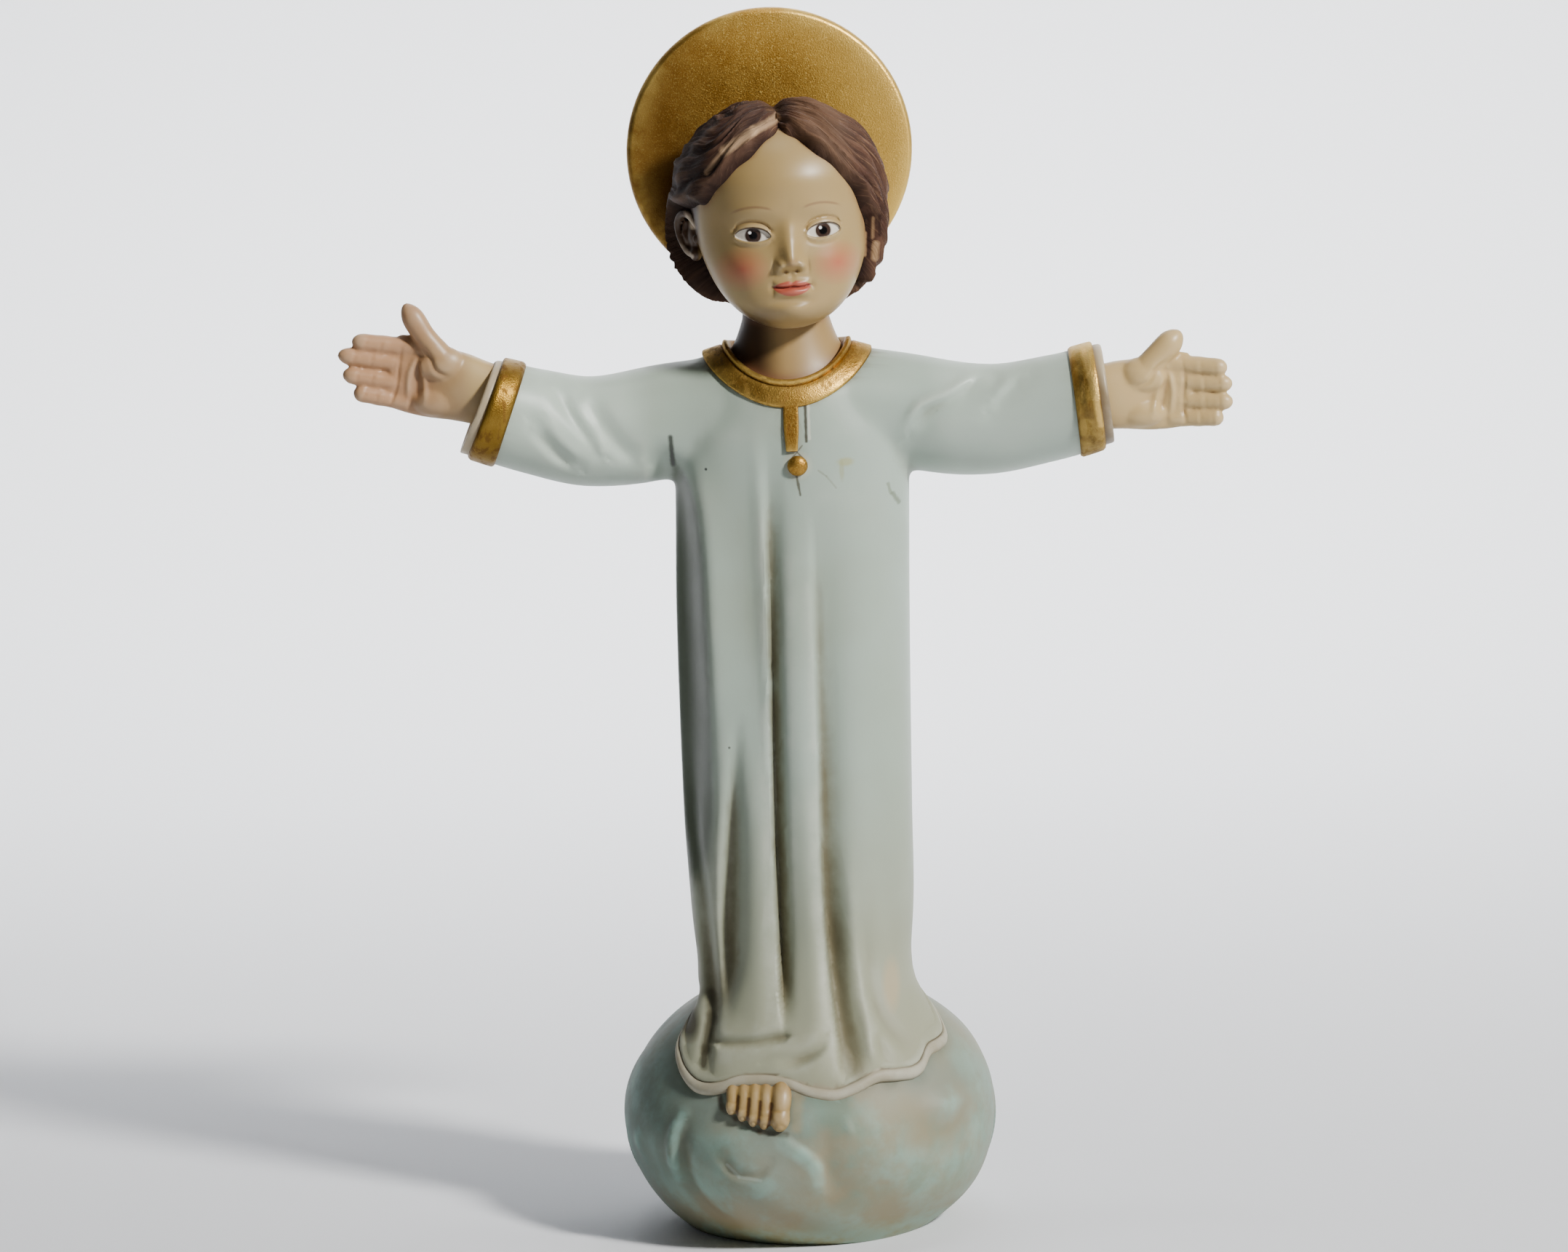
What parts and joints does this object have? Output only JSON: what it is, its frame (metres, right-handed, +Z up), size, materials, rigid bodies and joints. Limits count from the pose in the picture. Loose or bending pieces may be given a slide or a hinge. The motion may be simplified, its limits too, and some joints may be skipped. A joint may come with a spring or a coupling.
{
  "type": "child jesus statue",
  "caption": "Hand-painted cast resin figure of a robed child with open arms and a gold disc halo, standing on a cloud base; a table or shelf ornament.",
  "frame": {"origin": "middle of the flat underside of the cloud base", "axes": "+Z up along the figure, the face and both palms look along -Y, the arms reach out along X"},
  "size_m": [0.2179, 0.0873, 0.3],
  "materials": {
    "painted_resin": "hand-painted cast resin: pale satin robe, gold trims and disc, blue-green cloud, brown antiquing in the folds"
  },
  "bodies": {
    "root": {"child_statue": "painted_resin"}
  },
  "joints": []
}
